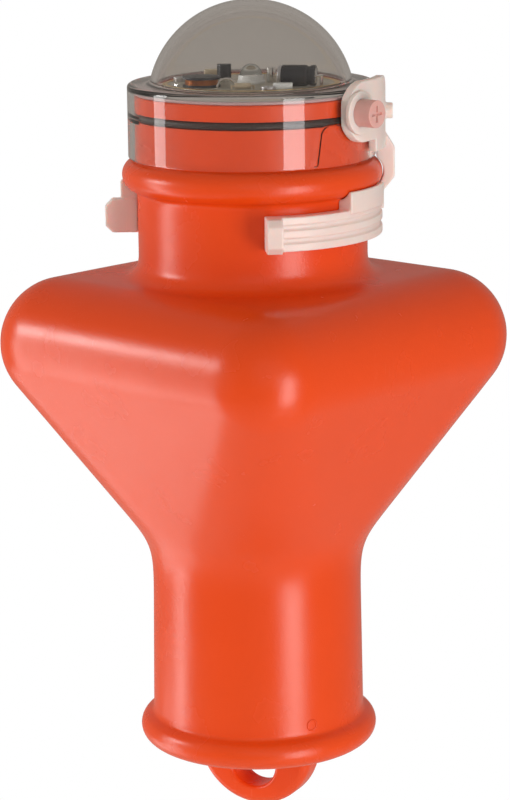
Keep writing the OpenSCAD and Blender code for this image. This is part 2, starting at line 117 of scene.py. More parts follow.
camera_data = bpy.data.cameras.new("studio_camera")
camera_data.sensor_width = 36
camera_data.lens = FOCAL_MM
camera_data.clip_start = 0.05
camera = bpy.data.objects.new("studio_camera", camera_data)
bpy.context.scene.collection.objects.link(camera)
toward = Vector((-math.sin(SWING) * math.cos(PITCH), -math.cos(SWING) * math.cos(PITCH), math.sin(PITCH)))
camera.location = TARGET + DISTANCE * toward
turn = (-toward).to_track_quat("-Z", "Y").to_matrix().to_4x4() @ Matrix.Rotation(-LEAN, 4, "Z")
camera.rotation_euler = turn.to_euler()
bpy.context.scene.camera = camera
print("camera at", [round(c, 3) for c in camera.location])

# %% [markdown]
# The studio is a pale round floor far below, a bright backdrop, and soft lamps. Floor and
# backdrop are white only to the camera. Reflections and the clear dome meet a greyer air,
# which gives the dome its grey look.

# %% Floor and backdrop
FLOOR_Z = -0.45
FLOOR_R = 1.6
WHITE = (1, 1, 1, 1)
AIR = (0.34, 0.31, 0.28, 1)
FLOOR_PAINT = (0.78, 0.77, 0.75, 1)


def link(obj):
    bpy.context.scene.collection.objects.link(obj)
    return obj


def nodes_of(owner):
    """The owner's node tree, emptied."""
    owner.use_nodes = True
    owner.node_tree.nodes.clear()
    return owner.node_tree


def white_to_camera(tree, seen, lit_shader, output):
    """Shows a flat pale colour to the camera, and lit_shader to everything else."""
    path = tree.nodes.new("ShaderNodeLightPath")
    mix = tree.nodes.new("ShaderNodeMixShader")
    tree.links.new(path.outputs["Is Camera Ray"], mix.inputs[0])
    tree.links.new(lit_shader.outputs[0], mix.inputs[1])
    tree.links.new(seen.outputs[0], mix.inputs[2])
    tree.links.new(mix.outputs[0], output.inputs["Surface"])


world = bpy.data.worlds.new("studio_air")
bpy.context.scene.world = world
tree = nodes_of(world)
air = tree.nodes.new("ShaderNodeBackground")
air.inputs["Color"].default_value = AIR
backdrop = tree.nodes.new("ShaderNodeBackground")
backdrop.inputs["Color"].default_value = WHITE
white_to_camera(tree, backdrop, air, tree.nodes.new("ShaderNodeOutputWorld"))

floor_mesh = bpy.data.meshes.new("studio_floor")
bm = bmesh.new()
bmesh.ops.create_circle(bm, cap_ends=True, segments=96, radius=FLOOR_R)
bm.to_mesh(floor_mesh)
bm.free()
floor = link(bpy.data.objects.new("studio_floor", floor_mesh))
floor.location.z = FLOOR_Z
floor_material = bpy.data.materials.new("studio_floor")
tree = nodes_of(floor_material)
paint = tree.nodes.new("ShaderNodeBsdfDiffuse")
paint.inputs["Color"].default_value = FLOOR_PAINT
glow = tree.nodes.new("ShaderNodeEmission")
glow.inputs["Color"].default_value = WHITE
white_to_camera(tree, glow, paint, tree.nodes.new("ShaderNodeOutputMaterial"))
floor_mesh.materials.append(floor_material)
bpy.context.scene.view_settings.view_transform = "Standard"
print("floor", FLOOR_Z, "m below the eye")

# %% [markdown]
# Lamps are placed for what they draw. Two tall strips, low at the left and at the right,
# draw the upright highlights on the tube and the skirt. A bar and a low panel at the left
# light the flat facet of the float. Three big lamps only fill, so they are left out of
# reflections. No lamp is seen through the clear dome.

# %% Lamps
LAMPS_AIM = Vector((0, 0, 100 * MM))


def lamp(name, angle, distance, middle_z, size, power, in_reflections=True):
    """A rectangular lamp that faces the light; angle runs from the camera's side to its right."""
    data = bpy.data.lights.new(name, "AREA")
    data.shape = "RECTANGLE"
    data.size, data.size_y = size
    data.energy = power
    obj = link(bpy.data.objects.new(name, data))
    a = math.radians(angle)
    obj.location = (distance * math.sin(a), -distance * math.cos(a), middle_z)
    aim = LAMPS_AIM - obj.location
    obj.rotation_euler = aim.to_track_quat("-Z", "Y").to_euler()
    obj.visible_camera = False
    obj.visible_glossy = in_reflections
    obj.visible_transmission = False


lamp("right_strip", 36, 1.0, -0.03, (0.36, 0.74), 5.5)
lamp("left_strip", -95, 1.0, -0.05, (0.26, 0.72), 3.0)
lamp("left_bar", -93, 1.0, 0.42, (0.26, 0.13), 2.6)
lamp("left_panel", -108, 0.62, -0.34, (0.5, 0.34), 0.9)
lamp("front_fill", 8, 1.5, 0.7, (1.4, 1.2), 4.5, in_reflections=False)
lamp("left_fill", -70, 1.3, 0.25, (0.8, 0.8), 1.6, in_reflections=False)
lamp("back_fill", 160, 1.4, 0.5, (1.0, 1.0), 4, in_reflections=False)

# %% [markdown]
# ## Effects that the finishes share
# Real plastic is never one flat colour. Four small effects serve nearly every finish here:
# a slow drift of the colour, the fine grain of the mould, upright rub marks, and pale dust
# on what faces up. Each is a node group, built once, with its own inputs, so that a
# material only sets how much of it there is. They read object coordinates, in metres.

# %% Helpers that build a node group
FLOAT, COLOUR, VECTOR = "NodeSocketFloat", "NodeSocketColor", "NodeSocketVector"
GREY = (0.8, 0.8, 0.8, 1)


def new_group(name, inputs, outputs):
    """An empty node group with named sockets; inputs hold (name, kind, default)."""
    group = bpy.data.node_groups.new(name, "ShaderNodeTree")
    for label, kind, default in inputs:
        socket = group.interface.new_socket(label, in_out="INPUT", socket_type=kind)
        socket.default_value = default
    for label, kind in outputs:
        group.interface.new_socket(label, in_out="OUTPUT", socket_type=kind)
    return group, group.nodes.new("NodeGroupInput"), group.nodes.new("NodeGroupOutput")


def add(tree, kind, settings=None, **values):
    """A node with its sockets set by name, or linked where the value is a socket."""
    node = tree.nodes.new(kind)
    for label, value in (settings or {}).items():
        setattr(node, label, value)
    for label, value in values.items():
        socket = node.inputs[int(label[1:]) if label[0] == "i" and label[1:].isdigit() else label]
        if isinstance(value, bpy.types.NodeSocket):
            tree.links.new(value, socket)
        else:
            socket.default_value = value
    return node


def calculated(tree, operation, *values, clamp=False):
    """Output of a math node on up to three numbers or sockets."""
    inputs = {f"i{i}": value for i, value in enumerate(values)}
    return add(tree, "ShaderNodeMath", {"operation": operation, "use_clamp": clamp}, **inputs).outputs[0]


def climbing(tree, value, low, high=1.0):
    """Goes from 0 to 1 while the value goes from low to high."""
    node = add(tree, "ShaderNodeMapRange", {"clamp": True}, i0=value)
    node.inputs["From Min"].default_value = low
    node.inputs["From Max"].default_value = high
    return node.outputs[0]


def blended(tree, share, first, second):
    """A colour that goes from first to second as share goes from 0 to 1."""
    return add(tree, "ShaderNodeMix", {"data_type": "RGBA"}, Factor=share, i6=first, i7=second).outputs[2]


print("node helpers ready")

# %% Colour drift
drift_group, take, give = new_group(
    "colour_drift",
    [("Color", COLOUR, GREY), ("Amount", FLOAT, 0.1), ("Scale", FLOAT, 40.0)],
    [("Color", COLOUR)],
)
place = add(drift_group, "ShaderNodeTexCoord")
cloud = add(drift_group, "ShaderNodeTexNoise", Vector=place.outputs["Object"],
            Scale=take.outputs["Scale"], Detail=3.0)
centred = calculated(drift_group, "SUBTRACT", cloud.outputs[0], 0.5)
swing = calculated(drift_group, "MULTIPLY_ADD", centred, take.outputs["Amount"], 1.0)
tinted = add(drift_group, "ShaderNodeVectorMath", {"operation": "SCALE"}, i0=take.outputs["Color"],
             Scale=swing)
drift_group.links.new(tinted.outputs[0], give.inputs["Color"])
print("group", drift_group.name)

# %% Mould grain
grain_group, take, give = new_group(
    "mould_grain",
    [("Size", FLOAT, 0.5), ("Depth", FLOAT, 0.5), ("Roughness", FLOAT, 0.3), ("Spread", FLOAT, 0.1)],
    [("Normal", VECTOR), ("Roughness", FLOAT)],
)
place = add(grain_group, "ShaderNodeTexCoord")
per_metre = calculated(grain_group, "DIVIDE", 1000.0, take.outputs["Size"])
peel = add(grain_group, "ShaderNodeTexNoise", Vector=place.outputs["Object"],
           Scale=per_metre, Detail=2.0, Roughness=0.6)
bump = add(grain_group, "ShaderNodeBump", Strength=take.outputs["Depth"], Distance=0.0001,
           Height=peel.outputs[0])
patch = add(grain_group, "ShaderNodeTexNoise", Vector=place.outputs["Object"], Scale=55.0, Detail=4.0)
uneven = calculated(grain_group, "SUBTRACT", patch.outputs[0], 0.5)
rough = calculated(grain_group, "MULTIPLY_ADD", uneven, take.outputs["Spread"], take.outputs["Roughness"],
                   clamp=True)
grain_group.links.new(bump.outputs[0], give.inputs["Normal"])
grain_group.links.new(rough, give.inputs["Roughness"])
print("group", grain_group.name)

# %% Rub marks
rub_group, take, give = new_group(
    "rub_marks",
    [("Color", COLOUR, GREY), ("Mark", COLOUR, WHITE), ("Amount", FLOAT, 0.3), ("Width", FLOAT, 0.4)],
    [("Color", COLOUR)],
)
place = add(rub_group, "ShaderNodeTexCoord")
stretch = add(rub_group, "ShaderNodeVectorMath", {"operation": "MULTIPLY"}, i0=place.outputs["Object"],
              i1=(1.0, 1.0, 0.045))
per_metre = calculated(rub_group, "DIVIDE", 1000.0, take.outputs["Width"])
streak = add(rub_group, "ShaderNodeTexNoise", Vector=stretch.outputs[0], Scale=per_metre, Detail=1.0)
where = add(rub_group, "ShaderNodeTexNoise", Vector=place.outputs["Object"], Scale=24.0, Detail=2.0)
thin = climbing(rub_group, streak.outputs[0], 0.66, 0.74)
patchy = climbing(rub_group, where.outputs[0], 0.52, 0.66)
mask = calculated(rub_group, "MULTIPLY", calculated(rub_group, "MULTIPLY", thin, patchy),
                  take.outputs["Amount"])
rubbed = blended(rub_group, mask, take.outputs["Color"], take.outputs["Mark"])
rub_group.links.new(rubbed, give.inputs["Color"])
print("group", rub_group.name)

# %% Settled dust
dust_group, take, give = new_group(
    "settled_dust",
    [("Color", COLOUR, GREY), ("Dust", COLOUR, (0.75, 0.7, 0.64, 1)), ("Amount", FLOAT, 0.2)],
    [("Color", COLOUR)],
)
place = add(dust_group, "ShaderNodeTexCoord")
parts = add(dust_group, "ShaderNodeSeparateXYZ", Vector=place.outputs["Normal"])
speck = add(dust_group, "ShaderNodeTexNoise", Vector=place.outputs["Object"], Scale=1400.0, Detail=3.0)
upward = climbing(dust_group, parts.outputs["Z"], 0.35)
clump = climbing(dust_group, speck.outputs[0], 0.4, 0.75)
mask = calculated(dust_group, "MULTIPLY", calculated(dust_group, "MULTIPLY", upward, clump),
                  take.outputs["Amount"])
dusty = blended(dust_group, mask, take.outputs["Color"], take.outputs["Dust"])
dust_group.links.new(dusty, give.inputs["Color"])
print("group", dust_group.name)

# %% [markdown]
# Every finish is a Principled shader with the groups in front of it. This helper sets the
# plain numbers on the shader's own sockets and wires the effects that change over the
# surface into its colour, roughness and normal.

# %% A helper that makes a finish
def group_node(tree, group, **values):
    """The group in a material's tree, with its inputs set or linked."""
    node = add(tree, "ShaderNodeGroup", {"node_tree": group})
    for label, value in values.items():
        if isinstance(value, bpy.types.NodeSocket):
            tree.links.new(value, node.inputs[label])
        else:
            node.inputs[label].default_value = value
    return node


def finish(name, colour, roughness=0.4, spread=0.1, grain=0.5, depth=0.15, drift=0.12, drift_scale=40.0,
           dust=0.1, rub=0.0, rub_colour=(1, 1, 1), plain=None):
    """A material; plain holds the Principled sockets that are one number all over."""
    material = bpy.data.materials.new(name)
    tree = nodes_of(material)
    shader = add(tree, "ShaderNodeBsdfPrincipled")
    output = add(tree, "ShaderNodeOutputMaterial")
    tree.links.new(shader.outputs[0], output.inputs["Surface"])
    tint = group_node(tree, drift_group, Color=(*colour, 1), Amount=drift, Scale=drift_scale).outputs["Color"]
    if rub:
        tint = group_node(tree, rub_group, Color=tint, Mark=(*rub_colour, 1), Amount=rub).outputs["Color"]
    if dust:
        tint = group_node(tree, dust_group, Color=tint, Amount=dust).outputs["Color"]
    tree.links.new(tint, shader.inputs["Base Color"])
    peel = group_node(tree, grain_group, Size=grain, Depth=depth, Roughness=roughness, Spread=spread)
    tree.links.new(peel.outputs["Normal"], shader.inputs["Normal"])
    tree.links.new(peel.outputs["Roughness"], shader.inputs["Roughness"])
    for label, value in (plain or {}).items():
        shader.inputs[label].default_value = value
    return material


def let_lamps_through(material):
    """Clear plastic that casts only a faint shadow, so that lamps light what is behind it."""
    tree = material.node_tree
    output = next(n for n in tree.nodes if n.type == "OUTPUT_MATERIAL")
    shader = next(n for n in tree.nodes if n.type == "BSDF_PRINCIPLED")
    path = add(tree, "ShaderNodeLightPath")
    open_way = add(tree, "ShaderNodeBsdfTransparent", Color=(0.93, 0.92, 0.91, 1))
    mix = add(tree, "ShaderNodeMixShader", i0=path.outputs["Is Shadow Ray"], i1=shader.outputs[0],
              i2=open_way.outputs[0])
    tree.links.new(mix.outputs[0], output.inputs["Surface"])
    return material


print("finish helpers ready")

# %% [markdown]
# ## Meshes
# A turned piece is an outline of radius and height, repeated round the axis. The helper
# below skins any grid of points, so that it serves turned pieces and freer shapes alike.
# Doubled points, such as those on the axis, are merged, and the faces all turn outwards.

# %% Grid, arc and lathe
def skin(name, grid, close_rows=False, sharp=35):
    """Mesh over grid[row][column]; columns always close on themselves, rows if asked."""
    grid = np.asarray(grid, float)
    rows, columns = grid.shape[:2]
    row, column = np.meshgrid(np.arange(rows if close_rows else rows - 1), np.arange(columns), indexing="ij")
    row, column = row.ravel(), column.ravel()
    above, beside = (row + 1) % rows, (column + 1) % columns
    faces = np.stack([row * columns + column, row * columns + beside,
                      above * columns + beside, above * columns + column], axis=1)
    mesh = bpy.data.meshes.new(name)
    mesh.from_pydata(grid.reshape(-1, 3).tolist(), [], faces.tolist())
    bm = bmesh.new()
    bm.from_mesh(mesh)
    bmesh.ops.remove_doubles(bm, verts=bm.verts, dist=1e-7)
    bmesh.ops.delete(bm, geom=[e for e in bm.edges if not e.link_faces], context="EDGES")
    bmesh.ops.recalc_face_normals(bm, faces=bm.faces)
    bm.to_mesh(mesh)
    bm.free()
    mesh.shade_smooth()
    mesh.set_sharp_from_angle(angle=math.radians(sharp))
    return link(bpy.data.objects.new(name, mesh))


def arc(centre, radius, start, end, steps):
    """Points of an arc in a half section, as (radius, height); angles in degrees."""
    angles = np.radians(np.linspace(start, end, steps + 1))
    return [(centre[0] + radius * math.cos(a), centre[1] + radius * math.sin(a)) for a in angles]


def line(start, end, steps):
    """Evenly spaced points from start up to but not including end."""
    return [(start[0] + (end[0] - start[0]) * i / steps, start[1] + (end[1] - start[1]) * i / steps)
            for i in range(steps)]


def lathe(name, outline, columns, close_rows=False, sharp=35):
    """The outline of (radius, height) points, turned round Z."""
    turns = np.linspace(0, 2 * math.pi, columns, endpoint=False)
    grid = [[(r * math.cos(a), r * math.sin(a), z) for a in turns] for r, z in outline]
    return skin(name, grid, close_rows, sharp)


print("mesh helpers ready")

# %% [markdown]
# ## The float body
# The real body is blow moulded in one piece: a round tube, a float with four round corners,
# a neck with a bead, and a plain spigot. The float's shape is what a sheet would make if it
# were pulled tight over four balls and a ring, a convex hull. A ray from the axis finds its
# surface in any direction, so each half section of the body can be drawn as rows of points:
# lip, tube, hull, neck, bead and spigot. The rows are eased later where the tube meets the
# float, as hot plastic never makes a sharp inner corner.

# %% The hull as something to shoot rays at
CORNERS = 4
BALL_TURNS = 128
BALL_TILTS = 97


def float_hull(corner_r, low_r, low_z):
    """Search tree of the sheet pulled over four balls and a ring."""
    bm = bmesh.new()
    turns = np.linspace(0, 2 * math.pi, BALL_TURNS, endpoint=False)
    tilts = np.linspace(-math.pi / 2, math.pi / 2, BALL_TILTS)
    for corner in range(CORNERS):
        spin = corner * 2 * math.pi / CORNERS
        middle = Vector((CORNER_REACH * math.cos(spin), CORNER_REACH * math.sin(spin), FLOAT_Z))
        for tilt in tilts:
            for a in turns:
                out = Vector((math.cos(tilt) * math.cos(a), math.cos(tilt) * math.sin(a), math.sin(tilt)))
                bm.verts.new(middle + corner_r * out)
    for a in turns:
        bm.verts.new((low_r * math.cos(a), low_r * math.sin(a), low_z))
    made = bmesh.ops.convex_hull(bm, input=bm.verts)
    spare = [v for v in made["geom_interior"] + made["geom_unused"] if isinstance(v, bmesh.types.BMVert)]
    bmesh.ops.delete(bm, geom=list(set(spare)), context="VERTS")
    tree = BVHTree.FromBMesh(bm)
    bm.free()
    return tree


outer_hull = float_hull(CORNER_R, TUBE_R, CONE_Z)
inner_hull = float_hull(CORNER_R - WALL, TUBE_R - WALL, CONE_Z + WALL)
print("hulls over", CORNERS, "balls of radius", round(CORNER_R / MM, 1), "mm")

# %% Its half section at every column
COLUMNS = 240
FOLD = COLUMNS // CORNERS
HULL_ROWS = 100
RAYS = 360


def hull_section(tree, angle, low_r, low_z, top_r, top_z):
    """Evenly spaced (radius, height) points of the hull's outline between two given levels."""
    eye = Vector((0, 0, FLOAT_Z))
    low = math.atan2(low_z - FLOAT_Z, low_r)
    high = math.atan2(top_z - FLOAT_Z, top_r)
    points = []
    for tilt in np.linspace(low, high, RAYS):
        way = Vector((math.cos(tilt) * math.cos(angle), math.cos(tilt) * math.sin(angle), math.sin(tilt)))
        spot = tree.ray_cast(eye, way)[0]
        if spot is not None:
            points.append((math.hypot(spot.x, spot.y), spot.z))
    points = np.array([(low_r, low_z)] + points[1:-1] + [(top_r, top_z)])
    along = np.concatenate([[0], np.cumsum(np.hypot(*np.diff(points, axis=0).T))])
    even = np.linspace(0, along[-1], HULL_ROWS)
    return np.stack([np.interp(even, along, points[:, 0]), np.interp(even, along, points[:, 1])], axis=1)


def all_sections(tree, low_r, low_z, top_r, top_z):
    """The hull's section at every column; its four-fold symmetry saves most of the rays."""
    eighth = [hull_section(tree, 2 * math.pi * i / COLUMNS, low_r, low_z, top_r, top_z)
              for i in range(FOLD // 2 + 1)]
    return np.array([eighth[min(c % FOLD, FOLD - c % FOLD)] for c in range(COLUMNS)])


outer_rows = all_sections(outer_hull, TUBE_R, CONE_Z, NECK_R + NECK_FILLET, TOP_Z)
inner_rows = all_sections(inner_hull, TUBE_R - WALL, CONE_Z + WALL, NECK_R - NECK_WALL, TOP_Z - WALL)
print("half sections:", outer_rows.shape)

# %% Rows below and above the hull
GROOVE_HALF = 1.35 * MM
GROOVE_R = 35.9 * MM
DRAFT_MIDDLE = 50 * MM
DRAFT_SPAN = 25 * MM
ring_z = (ring_low.z + ring_high.z) / 2
neck_bore_r = NECK_R - NECK_WALL

lip_middle = (LIP_CENTRE_R, BASE_Z + LIP_SECTION)
lip_rows = line((0, BASE_Z), (LIP_CENTRE_R, BASE_Z), 10) + arc(lip_middle, LIP_SECTION, -90, 84, 22)
tube_low = BASE_Z + 2 * LIP_SECTION + 0.6 * MM
tube_rows = [(TUBE_R + TUBE_DRAFT * (DRAFT_MIDDLE - z) / DRAFT_SPAN, z)
             for z in np.linspace(tube_low, CONE_Z - 1.5 * MM, 38)]
fillet_middle = (NECK_R + NECK_FILLET, TOP_Z + NECK_FILLET)
bead_middle = (BEAD_CENTRE_R, BEAD_Z)
neck_rows = arc(fillet_middle, NECK_FILLET, -97, -180, 10)
neck_rows += line((NECK_R, fillet_middle[1] + 1 * MM), (NECK_R, BEAD_Z - BEAD_SECTION), 22)
bead_rows = arc(bead_middle, BEAD_SECTION, -84, 80, 26)
spigot_rows = line((SPIGOT_R, BEAD_Z + BEAD_SECTION), (SPIGOT_R, ring_z - GROOVE_HALF), 10)
spigot_rows += [(SPIGOT_R, ring_z - GROOVE_HALF), (GROOVE_R, ring_z - GROOVE_HALF),
                (GROOVE_R, ring_z + GROOVE_HALF), (SPIGOT_R, ring_z + GROOVE_HALF)]
spigot_rows += [(SPIGOT_R, MOUTH_Z - EDGE), (SPIGOT_R - EDGE, MOUTH_Z),
                (MOUTH_R + EDGE, MOUTH_Z), (MOUTH_R, MOUTH_Z - EDGE)]
mouth_rows = line((MOUTH_R, MOUTH_Z - 2 * EDGE), (MOUTH_R, BEAD_Z), 10)
mouth_rows += line((neck_bore_r, BEAD_Z), (neck_bore_r, TOP_Z - WALL), 10)
well_r = TUBE_R - WALL
well_rows = line((well_r, CONE_Z), (well_r, well_low), 20)
well_rows += [(well_r, well_low), (well_r / 2, well_low), (0, well_low)]
print("lip, tube and bead rows:", len(lip_rows), len(tube_rows), len(bead_rows))

# %% [markdown]
# The rows are joined into one section per column, from the middle of the base up the
# outside, over the mouth and down the inside. Each joint is then eased: its rows move
# towards the middle of their neighbours, again and again.

# %% The shell
def for_all_columns(rows):
    """The same rows at every column."""
    return np.repeat(np.array(rows, float)[None], COLUMNS, axis=0)


def eased(section, first, last, passes):
    """Rows first to last, each moved towards the middle of its neighbours, again and again."""
    for _ in range(passes):
        part = section[:, first:last]
        section[:, first + 1:last - 1] = (part[:, :-2] + 2 * part[:, 1:-1] + part[:, 2:]) / 4
    return section


section = np.concatenate([for_all_columns(lip_rows + tube_rows), outer_rows,
                          for_all_columns(neck_rows + bead_rows + spigot_rows + mouth_rows),
                          inner_rows[:, ::-1], for_all_columns(well_rows)], axis=1)
foot = len(lip_rows)
waist = foot + len(tube_rows)
neck = waist + HULL_ROWS
bead = neck + len(neck_rows)
for joint, rows_before, rows_after, passes in (
    (foot, 6, 5, 3), (waist, 26, 34, 40), (neck, 8, 12, 3), (bead, 4, 5, 4),
):
    section = eased(section, joint - rows_before, joint + rows_after, passes)
turns = np.linspace(0, 2 * math.pi, COLUMNS, endpoint=False)
grid = np.stack([section[:, :, 0] * np.cos(turns)[:, None], section[:, :, 0] * np.sin(turns)[:, None],
                 section[:, :, 1]], axis=2).transpose(1, 0, 2)
float_shell = skin("float_shell", grid)
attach(float_shell, "body")
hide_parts("float_body")
print("float shell faces:", len(float_shell.data.polygons))

# %% [markdown]
# The lug under the base is a flat disc with a round hole, moulded with soft edges. Each step
# round the hole has a closed section that reaches from the hole out to the disc's edge or up
# into the base, so the lug is one closed ring.

# %% The lanyard lug
LUG_R = 21.5 * MM
LUG_Z = 6.6 * MM
LUG_T = 11 * MM
HOLE_R = 8.5 * MM
SUNK = 0.8 * MM
LUG_EDGE = 3 * MM
HOLE_EDGE = 1.3 * MM
LUG_STEPS = 144


def lug_reach(a):
    """Distance from the hole's centre to the lug's outline, in direction a."""
    up = LUG_Z * math.sin(a)
    disc = up + math.sqrt(up * up - LUG_Z ** 2 + LUG_R ** 2)
    lid = (BASE_Z + SUNK) / math.sin(a) if math.sin(a) > 0.05 else disc
    return min(disc, lid)


def lug_section(reach):
    """Closed section from the hole to the outline: (distance, depth), soft at its corners."""
    outer = min(LUG_EDGE, 0.45 * (reach - HOLE_R))
    inner = min(HOLE_EDGE, 0.45 * (reach - HOLE_R))
    half = LUG_T / 2
    points = arc((reach - outer, half - outer), outer, 0, 90, 8)
    points += arc((HOLE_R + inner, half - inner), inner, 90, 180, 8)
    points += arc((HOLE_R + inner, inner - half), inner, 180, 270, 8)
    points += arc((reach - outer, outer - half), outer, 270, 360, 8)
    return points


grid = []
for a in np.linspace(0, 2 * math.pi, LUG_STEPS, endpoint=False):
    flat = [(math.cos(a) * d, y, math.sin(a) * d) for d, y in lug_section(lug_reach(a))]
    grid.append([Matrix.Rotation(EYE_TURN, 3, "Z") @ Vector(p) for p in flat])
lug = skin("lanyard_eye_lug", grid, close_rows=True)
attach(lug, "body")
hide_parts("lanyard_lug")
print("lug faces:", len(lug.data.polygons))

# %% [markdown]
# The mould leaves a small raised circle low on the tube. It is a thin ring, half sunk into
# the wall.

# %% The mould's circle
MARK_ANGLE = math.radians(-63)
MARK_R = 1.7 * MM
MARK_T = 0.3 * MM
MARK_OUT = 0.45 * MM
MARK_Z = 22.5 * MM

place = Matrix.Rotation(MARK_ANGLE, 4, "Z") @ Matrix.Translation((TUBE_R + MARK_OUT, 0, MARK_Z))
place = place @ Matrix.Rotation(math.pi / 2, 4, "Y")
grid = []
for a in np.linspace(0, 2 * math.pi, 40, endpoint=False):
    bent = [(MARK_R + MARK_T * math.cos(b), MARK_T * math.sin(b))
            for b in np.linspace(0, 2 * math.pi, 12, endpoint=False)]
    grid.append([place @ Vector((r * math.cos(a), r * math.sin(a), z)) for r, z in bent])
vent_mark = skin("vent_mark", grid, close_rows=True)
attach(vent_mark, "body")
print("circle faces:", len(vent_mark.data.polygons))

# %% [markdown]
# ## The dome
# The clear dome, its flat shoulder and its skirt are one moulding of polycarbonate. It is
# turned from one closed outline, with a real wall, because light bends at both of its
# faces. Three shallow hooked tracks inside the skirt guide it on and off. They are pressed
# into the inner wall by moving its points outwards where they lie near a track's path.

# %% The dome's outline
SHOULDER_EDGE = 1.2 * MM
DOME_FILLET = 1.5 * MM
skirt_in = SKIRT_R - DOME_WALL
under = seal_high.z + 0.1 * MM
fillet_z = SHOULDER_Z + DOME_FILLET - DOME_CENTRE_Z
fillet_r = math.sqrt((DOME_R + DOME_FILLET) ** 2 - fillet_z ** 2)
lean = math.degrees(math.atan2(fillet_z, fillet_r))
inner_lean = math.degrees(math.asin((under - DOME_CENTRE_Z) / (DOME_R - DOME_WALL)))
ball = (0, DOME_CENTRE_Z)

outline = arc((SKIRT_R - EDGE, SKIRT_Z + EDGE), EDGE, -90, 0, 4)
outline += line((SKIRT_R, SKIRT_Z + 2 * EDGE), (SKIRT_R, SHOULDER_Z - SHOULDER_EDGE), 16)
outline += arc((SKIRT_R - SHOULDER_EDGE, SHOULDER_Z - SHOULDER_EDGE), SHOULDER_EDGE, 0, 90, 10)
outline += arc((fillet_r, SHOULDER_Z + DOME_FILLET), DOME_FILLET, -90, lean - 180, 8)
outline += arc(ball, DOME_R, lean + 1, 90, 48)
outline += arc(ball, DOME_R - DOME_WALL, 90, inner_lean, 48)
outline += arc((skirt_in - EDGE, under - EDGE), EDGE, 90, 0, 4)
wall_start = len(outline)
outline += line((skirt_in, under - 2 * EDGE), (skirt_in, SKIRT_Z + EDGE), 52)
wall_end = len(outline)
outline += arc((skirt_in + EDGE, SKIRT_Z + EDGE), EDGE, 180, 270, 4)
print("dome outline points:", len(outline))

# %% The hooked tracks
TRACK_START = math.radians(-62)
TRACK_STEP = math.radians(120)
TRACK_TOP = ring_z - 0.4 * MM
TRACK_BEND = 4 * MM
TRACK_LEAN = 1.5 * MM
TRACK_ALONG = 11 * MM
TRACK_DEPTH = 0.45 * MM
TRACK_HALF = 0.8 * MM
DOME_COLUMNS = 600


def track_path():
    """Points of one track on the unrolled inner wall: up, round a bend, and along."""
    shares = np.linspace(0, 1, 30)
    up = [(TRACK_LEAN * s, SKIRT_Z + (TRACK_TOP - TRACK_BEND - SKIRT_Z) * s) for s in shares]
    bend = arc((TRACK_LEAN + TRACK_BEND, TRACK_TOP - TRACK_BEND), TRACK_BEND, 180, 90, 12)
    along = [(TRACK_LEAN + TRACK_BEND + TRACK_ALONG * s, TRACK_TOP) for s in shares]
    return np.array(up + bend + along)


path = track_path()
turns = np.linspace(0, 2 * math.pi, DOME_COLUMNS, endpoint=False)
grid = []
for row, (r, z) in enumerate(outline):
    radii = np.full(DOME_COLUMNS, r)
    if wall_start <= row < wall_end:
        from_start = (turns - TRACK_START) % TRACK_STEP
        from_start = np.where(from_start > math.pi / 2, from_start - TRACK_STEP, from_start)
        spot = np.stack([from_start * skirt_in, np.full(DOME_COLUMNS, z)], axis=1)
        far = np.linalg.norm(spot[:, None] - path[None], axis=2).min(axis=1)
        radii += TRACK_DEPTH * np.exp(-(far / TRACK_HALF) ** 4)
    grid.append(np.stack([radii * np.cos(turns), radii * np.sin(turns), np.full(DOME_COLUMNS, z)], axis=1))
dome_shell = skin("dome_shell", grid, close_rows=True)
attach(dome_shell, "dome")
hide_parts("dome_lens")
print("dome faces:", len(dome_shell.data.polygons))

# %% [markdown]
# ## Seals
# A rubber ring sits in the spigot's groove and a pale seal lies on the mouth's rim. Both
# are turned with rounded sections. The rubber ring keeps the fine flash line of its mould.

# %% Seal rings
RING_COLUMNS = 240
FLASH = 0.05 * MM
SEAL_IN_R = 32.6 * MM
ring_section = (ring_high.z - ring_low.z) / 2
ring_middle_r = ring_high.x - ring_section
ring_outline = [(ring_middle_r + (ring_section + FLASH * (i % 24 == 0)) * math.cos(a),
                 ring_z + ring_section * math.sin(a))
                for i, a in enumerate(np.linspace(0, 2 * math.pi, 48, endpoint=False))]
ring = lathe("spigot_seal", ring_outline, columns=RING_COLUMNS, close_rows=True, sharp=80)
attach(ring, "body")
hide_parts("o_ring")

seal_half = (seal_high.z - seal_low.z) / 2
seal_middle = (seal_high.z + seal_low.z) / 2
seal_outline = arc((seal_high.x - seal_half, seal_middle), seal_half, -90, 90, 10)
seal_outline += arc((SEAL_IN_R + seal_half, seal_middle), seal_half, 90, 270, 10)
mouth_seal = lathe("mouth_seal", seal_outline, columns=RING_COLUMNS, close_rows=True, sharp=80)
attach(mouth_seal, "rim_seal")
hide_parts("rim_seal")
print("seals:", ring.name, mouth_seal.name)

# %% [markdown]
# ## The collar and its stud
# The collar is one soft, milky moulding: a ribbed strap, thumb tabs, an arm and a pad. All
# its edges are rounded by the mould. The part in the frame has the right shape but sharp
# edges, so a copy of its mesh is remeshed into even small squares and relaxed. This
# rounds every edge and joint at once, as the mould does. The stud and its washer get the
# same treatment, with smaller squares.

# %% Copies of a part
def copy_of(node, name):
    """A new object with the welded mesh of a part."""
    mesh = frame["nodes"][node].data.copy()
    mesh.name = name
    bm = bmesh.new()
    bm.from_mesh(mesh)
    bmesh.ops.remove_doubles(bm, verts=bm.verts, dist=2e-6)
    bm.to_mesh(mesh)
    bm.free()
    return link(bpy.data.objects.new(name, mesh))


def baked(obj):
    """The object with its modifiers applied."""
    bpy.context.view_layer.update()
    done = bpy.data.meshes.new_from_object(obj.evaluated_get(bpy.context.evaluated_depsgraph_get()))
    obj.modifiers.clear()
    obj.data = done
    return obj


print("copy helpers ready")

